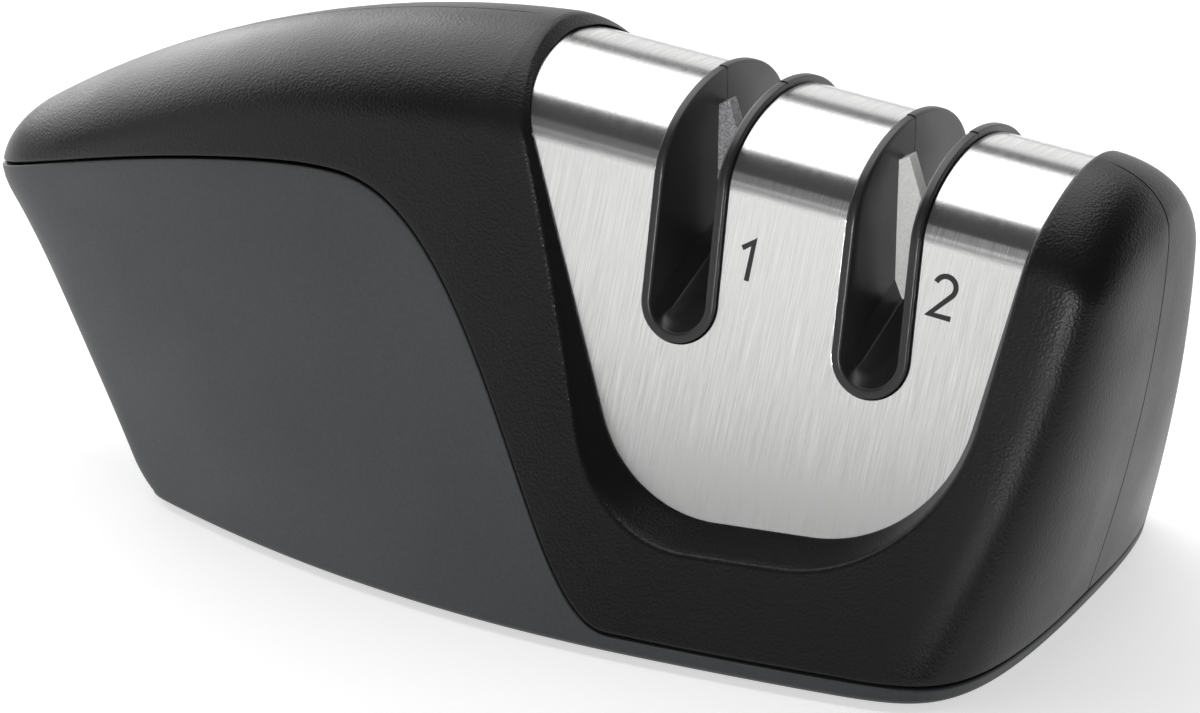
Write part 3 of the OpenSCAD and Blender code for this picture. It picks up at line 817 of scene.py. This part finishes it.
# Steel cover: its flat pattern, bent over the arch
arc_n = 400
arc_depth = 60.0
arc_d = np.array([arc_depth * (i / arc_n) ** 2 for i in range(arc_n + 1)])
arc_y = np.array([arch_w(d) for d in arc_d])
arc_s = np.concatenate([[0.0], np.cumsum(np.hypot(np.diff(arc_d), np.diff(arc_y)))])
arc_out = np.gradient(arc_d)
arc_up = np.gradient(arc_y)
arc_len = np.hypot(arc_out, arc_up)
cut_r = 0.16
cut_drop = 0.07
cut_tilt = 0.8
cut_depth = 0.5
sheet_tuck = 1.0
grid_along = 1.0
grid_s = 0.55
weld = 1e-6


def flat(p):
    """Side-view place on the front of the steel, as length along it and girth from its crest."""
    along, d = to_deck(p[0], p[1])
    return np.array([along, np.interp(max(0.0, d), arc_d, arc_s)])


def bent(f, off=0.0):
    """Point of the bent sheet and its normal."""
    s = abs(f[1])
    side = -1.0 if f[1] > 0 else 1.0
    d = np.interp(s, arc_s, arc_d)
    out = np.interp(s, arc_s, arc_out / arc_len)
    up = np.interp(s, arc_s, arc_up / arc_len)
    n = np.array([up * math.sin(deck_tilt), side * out, up * math.cos(deck_tilt)])
    return from_deck(f[0], side * arch_w(d), -d) + n * off, n


def both_sides(points):
    """Closed loop from a front half that starts and ends on the crest."""
    return points + [np.array([p[0], -p[1]]) for p in points[-2:0:-1]]


def loop_normals(loop):
    p = np.array(loop)
    t = np.roll(p, -1, axis=0) - np.roll(p, 1, axis=0)
    n = np.stack([t[:, 1], -t[:, 0]], axis=1)
    n /= np.linalg.norm(n, axis=1, keepdims=True)
    area = np.sum(p[:, 0] * np.roll(p[:, 1], -1) - np.roll(p[:, 0], -1) * p[:, 1])
    return n if area > 0 else -n


def grown(loop, g):
    return list(np.array(loop) + g * loop_normals(loop))


def inside(points, loop):
    """Which of the points lie inside a closed loop."""
    p = np.array(points)
    q = np.array(loop)
    found = np.zeros(len(p), bool)
    for a, b in zip(q, np.roll(q, -1, axis=0)):
        spans = (a[1] > p[:, 1]) != (b[1] > p[:, 1])
        if spans.any():
            cut = a[0] + (p[:, 1] - a[1]) * (b[0] - a[0]) / (b[1] - a[1] + tiny)
            found ^= spans & (p[:, 0] < cut)
    return found


# A slot in the side view, from its left crest round its lower end to its right crest
slot_line_n = 40
slot_arc_n = 64


def slot_side(x, g):
    r = slot_low_w / 2
    mid = steel_z(x) - slot_depth + r
    up = 2 * (steel_z(x) - mid)
    a = r + g
    b = slot_w - r + g
    lines = []
    for s in (-1, 1):
        low = np.array([x + s * a, mid])
        high = np.array([x + s * b, mid + up])
        d0, d1 = to_deck(*low)[1], to_deck(*high)[1]
        top = mix(low, high, d0 / (d0 - d1))
        lines.append([mix(top, low, (i / slot_line_n) ** 2) for i in range(slot_line_n)])
    arc = [
        np.array([x + a * math.cos(t), mid + a * math.sin(t)])
        for t in (math.pi * (1 + i / slot_arc_n) for i in range(slot_arc_n + 1))
    ]
    return lines[0] + arc + lines[1][::-1]


def build_steel():
    rim = grown(both_sides([flat(p) for p in edge]), sheet_tuck)
    cuts = [both_sides([flat(p) for p in slot_side(x, 0.0)]) for x in (coarse_x, fine_x)]
    rings = [grown(cut, cut_r) for cut in cuts]
    guards = [grown(cut, 3 * cut_r) for cut in cuts]
    low_a, high_a = np.min(rim, axis=0), np.max(rim, axis=0)
    grid = np.array(
        [
            (a, s)
            for a in np.arange(low_a[0], high_a[0], grid_along)
            for s in np.arange(low_a[1], high_a[1], grid_s)
        ]
    )
    grid = grid[inside(grid, grown(rim, -2 * cut_r))]
    for guard in guards:
        grid = grid[~inside(grid, guard)]
    loops = [rim] + cuts + rings
    points, edges, starts = [], [], []
    for loop in loops:
        start = len(points)
        starts.append(start)
        points.extend(loop)
        edges.extend((start + i, start + (i + 1) % len(loop)) for i in range(len(loop)))
    points.extend(grid)
    made, _, faces, sources, _, _ = delaunay_2d_cdt([Vector(p) for p in points], edges, [], 1, weld)
    made = np.array([tuple(v) for v in made])
    centres = np.array([made[list(f)].mean(axis=0) for f in faces])
    kept = ~(inside(centres, cuts[0]) | inside(centres, cuts[1]))
    number = {source: i for i, group in enumerate(sources) for source in group}
    spots, normals = map(list, zip(*(bent(f) for f in made)))
    skin_faces = []
    for f, keep in zip(faces, kept):
        if keep:
            a, b, c = (spots[v] for v in f)
            up = np.cross(b - a, c - a) @ normals[f[0]]
            skin_faces.append(tuple(f) if up > 0 else tuple(f)[::-1])
    places = list(made)
    for start, cut in zip(starts[1:3], cuts):
        tilt = -loop_normals(cut)
        edge_ids, skirt_ids = [], []
        for i, f in enumerate(cut):
            v = number[start + i]
            n = normals[v]
            lean = unit(bent(np.array(f) + probe * tilt[i])[0] - spots[v])
            skirt_ids.append(len(spots))
            spots.append(spots[v] - n * cut_depth)
            normals.append(lean)
            places.append(f)
            spots[v] = spots[v] - n * cut_drop
            normals[v] = unit(n * (1 - cut_tilt) + lean * cut_tilt)
            edge_ids.append(v)
        for face in strip_faces(edge_ids, skirt_ids, True):
            a, b, c = (spots[v] for v in face[:3])
            out = np.cross(b - a, c - a) @ normals[face[2]]
            skin_faces.append(face if out > 0 else face[::-1])
    piece = add_piece("steel_sheet", spots, skin_faces, ["steel_cover"], steel)
    sheet = piece.data.uv_layers.new(name="sheet")
    for loop in piece.data.loops:
        sheet.data[loop.index].uv = places[loop.vertex_index]
    piece.data.normals_split_custom_set_from_vertices([tuple(n) for n in normals])


build_steel()

# Slot guides
rim_out_r = 0.25
rim_in_r = 0.4
rim_steps = 5
rim_sunk = 0.4
rear_step = 0.1
wall_steps = 14
crease_r = 0.1
crease_from = 0.25
floor_stop = 1.9


def floor_slopes(e):
    """Height of the floor beside its crease, whose bottom is slightly rounded."""
    steep = (floor_side + floor_bank) / 2
    return (floor_side - floor_bank) / 2 * e + steep * (math.hypot(e, crease_r) - crease_r)


def guide_half(name, node, x, flip):
    proud = rim_proud + (rear_step if flip else 0.0)
    outer = -fit
    inner = -fit - rim_w
    profile = [(outer, -rim_sunk)]
    for i in range(rim_steps + 1):
        a = math.pi / 2 * i / rim_steps
        profile.append((outer - rim_out_r * (1 - math.cos(a)), proud - rim_out_r * (1 - math.sin(a))))
    for i in range(rim_steps + 1):
        a = math.pi / 2 * i / rim_steps
        profile.append((inner + rim_in_r * (1 - math.sin(a)), proud - rim_in_r * (1 - math.cos(a))))
    rows = []
    for g, off in profile:
        row = [on_arch(p[0], p[1], off) for p in slot_side(x, g)]
        for end in (0, -1):
            row[end][1] = -seam_gap / 2
        rows.append(row)
    last = rows[-1]
    r = slot_low_w / 2 + inner
    low = last[slot_line_n + slot_arc_n // 2]
    stop_y = -seam_gap / 2
    height = (abs(low[1]) - floor_stop) * math.tan(floor_rise)
    for j in range(1, wall_steps + 1):
        t = j / wall_steps
        sharp = smooth(t / crease_from)
        row = []
        for q, p in enumerate(last):
            dx = clamp(abs(p[0] - x) / r) * r
            if slot_line_n <= q <= slot_line_n + slot_arc_n:
                bowl = r - math.sqrt(max(0.0, r * r - dx * dx))
                vee = floor_slopes(p[0] - x + crease_off)
                z = low[2] + mix(bowl, vee, sharp) + t * height
                row.append(np.array([p[0], mix(p[1], -floor_stop, t), z]))
            else:
                row.append(np.array([p[0], mix(p[1], stop_y, t), p[2]]))
        rows.append(row)
    skin = Skin()
    skin.loft([skin.row(mirrored(row) if flip else row) for row in rows], flip)
    add_piece(name, skin.points, skin.faces, [node], guide_black)


for stage, x in (("coarse", coarse_x), ("fine", fine_x)):
    guide_half(f"{stage}_guide_front_skin", f"{stage}_guide_front", x, False)
    guide_half(f"{stage}_guide_rear_skin", f"{stage}_guide_rear", x, True)

# Abrasive plates
plate_t = 2.2
fine_plate_off = 2.4
plate_lean = math.radians(18.5)
plate_top_drop = 2.9
plate_reach = 1.25
plate_seat = 9.0
plate_bite = 0.6
plate_chamfer = 0.5
plate_edge_r = 0.12
plate_edge_steps = 2
wall_x = slot_w / 2 - fit - rim_w


def plate_points(x, s):
    top = steel_z(x) + rim_proud - plate_top_drop
    low = steel_z(x) - slot_depth - plate_seat
    in_x = wall_x + rim_w * plate_bite
    reach = wall_x - plate_reach
    far_x = wall_x - fit
    drop = (reach + far_x) / math.tan(plate_lean)
    shape = [
        (-in_x, top - (in_x - reach) * plate_chamfer),
        (-reach, top),
        (far_x, top - drop),
        (far_x, low),
        (-in_x, low),
    ]
    return [np.array([x - s * px, pz]) for px, pz in shape]


def soften(piece, radius, segments):
    """Rounded edges on a piece whose faces stay flat."""
    round_off = piece.modifiers.new("round", "BEVEL")
    round_off.width = radius * MM
    round_off.segments = segments
    round_off.limit_method = "ANGLE"
    even = piece.modifiers.new("even", "WEIGHTED_NORMAL")
    even.keep_sharp = True


def slab(name, node, shape, y0, y1, material):
    """An outline of the side view carried across, with its edges rounded."""
    n = len(shape)
    points = [np.array([p[0], y, p[1]]) for y in (y0, y1) for p in shape]
    turn = np.sum([a[0] * b[1] - b[0] * a[1] for a, b in zip(shape, shape[1:] + shape[:1])])
    faces = [tuple(range(n)), tuple(range(2 * n - 1, n - 1, -1))]
    faces += [(i, i + n, (i + 1) % n + n, (i + 1) % n) for i in range(n)]
    if turn < 0:
        faces = [face[::-1] for face in faces]
    piece = add_piece(name, points, faces, [node], material)
    soften(piece, plate_edge_r, plate_edge_steps)


for stage, x, material in (("coarse", coarse_x, carbide), ("fine", fine_x, ceramic)):
    near = seam_gap / 2 + (0.0 if stage == "coarse" else fine_plate_off)
    far = near + plate_t
    slab(f"{stage}_left_block", f"{stage}_left_plate", plate_points(x, -1), -far, -near, material)
    slab(f"{stage}_right_block", f"{stage}_right_plate", plate_points(x, 1), near, far, material)

# Stage numbers printed on the steel
number_h = 4.6
number_stroke = 0.62
number_off = 0.02
number_at = {"1": (36.0, 14.8), "2": (59.7, 12.7)}
hook_n = 18
hook_r = 0.27
hook_z = 0.23
hook_from = 165
hook_turn = 205
mitre = 0.5
one = [(-0.24, 0.28), (0.04, 0.5), (0.04, -0.5)]
two = [
    (hook_r * math.cos(a), hook_z + hook_r * math.sin(a))
    for a in (math.radians(hook_from - hook_turn * i / hook_n) for i in range(hook_n + 1))
]
two += [(-hook_r, -0.5), (0.3, -0.5)]


def print_number(digit, line):
    along, depth = number_at[digit]
    girth = np.interp(depth, arc_d, arc_s)
    path = [np.array(p) * number_h for p in line]
    sides = ([], [])
    for i, p in enumerate(path):
        before = unit(p - path[i - 1]) if i else unit(path[1] - p)
        after = unit(path[i + 1] - p) if i < len(path) - 1 else before
        across = unit(before + after)[::-1] * (1, -1)
        width = number_stroke / 2 / max(mitre, math.sqrt((1 + before @ after) / 2))
        for side, s in zip(sides, (-1, 1)):
            q = p + s * width * across
            side.append(bent((along + q[0], girth - q[1]), number_off)[0])
    skin = Skin()
    skin.loft([skin.row(side) for side in sides], False)
    add_piece(f"stage_number_{digit}", skin.points, skin.faces, [], print_black)


print_number("1", one)
print_number("2", two)

# Solids that stay as they are, with their materials
for material, nodes in (
    (inner_black, ("coarse_cradle", "fine_cradle", "inner_frame", "grip_rib")),
    (base_black, ("base_plate",)),
    (zinc, ("coarse_pin", "fine_pin", "frame_screws", "cradle_screws", "rib_screws")),
    (rubber, ("rubber_feet",)),
):
    for node in nodes:
        for place_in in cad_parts[node].material_slots:
            place_in.material = material

# Camera, light and floor
def aim(thing, place_m, at_m):
    thing.location = place_m
    thing.rotation_euler = (Vector(at_m) - Vector(place_m)).to_track_quat("-Z", "Y").to_euler()


camera_data = bpy.data.cameras.new("camera")
camera_data.lens = lens
camera_data.sensor_width = sensor
camera = bpy.data.objects.new("camera", camera_data)
scene.collection.objects.link(camera)
aim(camera, Vector(eye) * MM, Vector(target) * MM)
bpy.context.scene.camera = camera


def add_lamp(name, data, power, place_m, at_m):
    data.energy = power
    lamp = bpy.data.objects.new(name, data)
    scene.collection.objects.link(lamp)
    aim(lamp, place_m, at_m)


def add_panel(name, place_m, at_m, size, power):
    """Lit panel of a width and height in metres."""
    data = bpy.data.lights.new(name, "AREA")
    data.shape = "RECTANGLE"
    data.size, data.size_y = size
    add_lamp(name, data, power, place_m, at_m)


def add_spot(name, place_m, at_m, angle, softness, power):
    data = bpy.data.lights.new(name, "SPOT")
    data.spot_size = angle
    data.spot_blend = 1.0
    data.shadow_soft_size = softness
    add_lamp(name, data, power, place_m, at_m)


body_at = (0.0, 0.0, 0.03)
grip_at = (-0.1, 0.0, 0.03)
steel_at = (0.05, 0.0, 0.05)
slots_at = (0.036, -0.005, 0.055)
add_panel("overhead", (-0.70, 0.383, 0.838), (-0.70, 0, 0.03), (1.9, 0.927), 12.2)
add_panel("back_card", (0.0, 1.16, 0.32), body_at, (3.0, 0.53), 5.0)
add_panel("left_card", (-0.92, 0.62, 0.42), body_at, (0.7, 0.6), 4.2)
add_panel("left_wall", (-1.10, 0.06, 0.46), body_at, (0.5, 0.5), 1.9)
add_panel("left_front", (-0.92, -0.64, 0.40), body_at, (0.32, 0.4), 0.6)
add_panel("front_card", (-0.70, -1.0, 0.13), grip_at, (1.6, 0.17), 0.85)
add_panel("front_fade", (-0.70, -1.0, 0.25), grip_at, (1.6, 0.07), 0.20)
add_panel("front_fade_high", (-0.70, -1.0, 0.32), grip_at, (1.6, 0.07), 0.10)
add_panel("front_mid", (-0.08, -1.15, 0.56), steel_at, (0.58, 0.38), 0.34)
add_panel("front_high", (-0.09, -1.12, 0.92), steel_at, (0.44, 0.62), 0.42)
add_spot("slot_light", (0.27, -0.82, 0.19), slots_at, math.radians(4.8), 0.04, 36.0)

world_strength = 0.07
floor_size = 6.0
floor_tone = 0.6
floor_rough = 0.9
# Painted light on the floor: its emission is a pool of glow, strongest round glow_middle and fading to
# none further out
glow_middle = (0.0, 0.25, 0.0)
glow_values = {"From Min": 0.35, "From Max": 1.3, "To Min": 0.6, "To Max": 0.0}

world = bpy.data.worlds.new("studio")
world.use_nodes = True
world.node_tree.nodes["Background"].inputs["Color"].default_value = grey(1.0)
world.node_tree.nodes["Background"].inputs["Strength"].default_value = world_strength
scene.world = world
scene.view_settings.view_transform = "Standard"

bpy.ops.mesh.primitive_plane_add(size=floor_size)
floor = bpy.context.object
floor.name = "floor"
floor_material, floor_tree, floor_shader = new_material("floor")
floor_shader.inputs["Base Color"].default_value = grey(floor_tone)
floor_shader.inputs["Roughness"].default_value = floor_rough
# Painted pool of light: the emission strength falls with distance from glow_middle, so the floor glows
# though it is no lamp
floor_shader.inputs["Emission Color"].default_value = grey(1.0)
floor_place = add_node(floor_tree, "ShaderNodeTexCoord")
floor_reach = add_node(floor_tree, "ShaderNodeVectorMath", operation="DISTANCE")
floor_reach.inputs[1].default_value = glow_middle
floor_tree.links.new(floor_place.outputs["Object"], floor_reach.inputs[0])
floor_glow = add_node(floor_tree, "ShaderNodeMapRange")
for socket, value in glow_values.items():
    floor_glow.inputs[socket].default_value = value
floor_tree.links.new(floor_reach.outputs["Value"], floor_glow.inputs["Value"])
floor_tree.links.new(floor_glow.outputs["Result"], floor_shader.inputs["Emission Strength"])
floor.data.materials.append(floor_material)
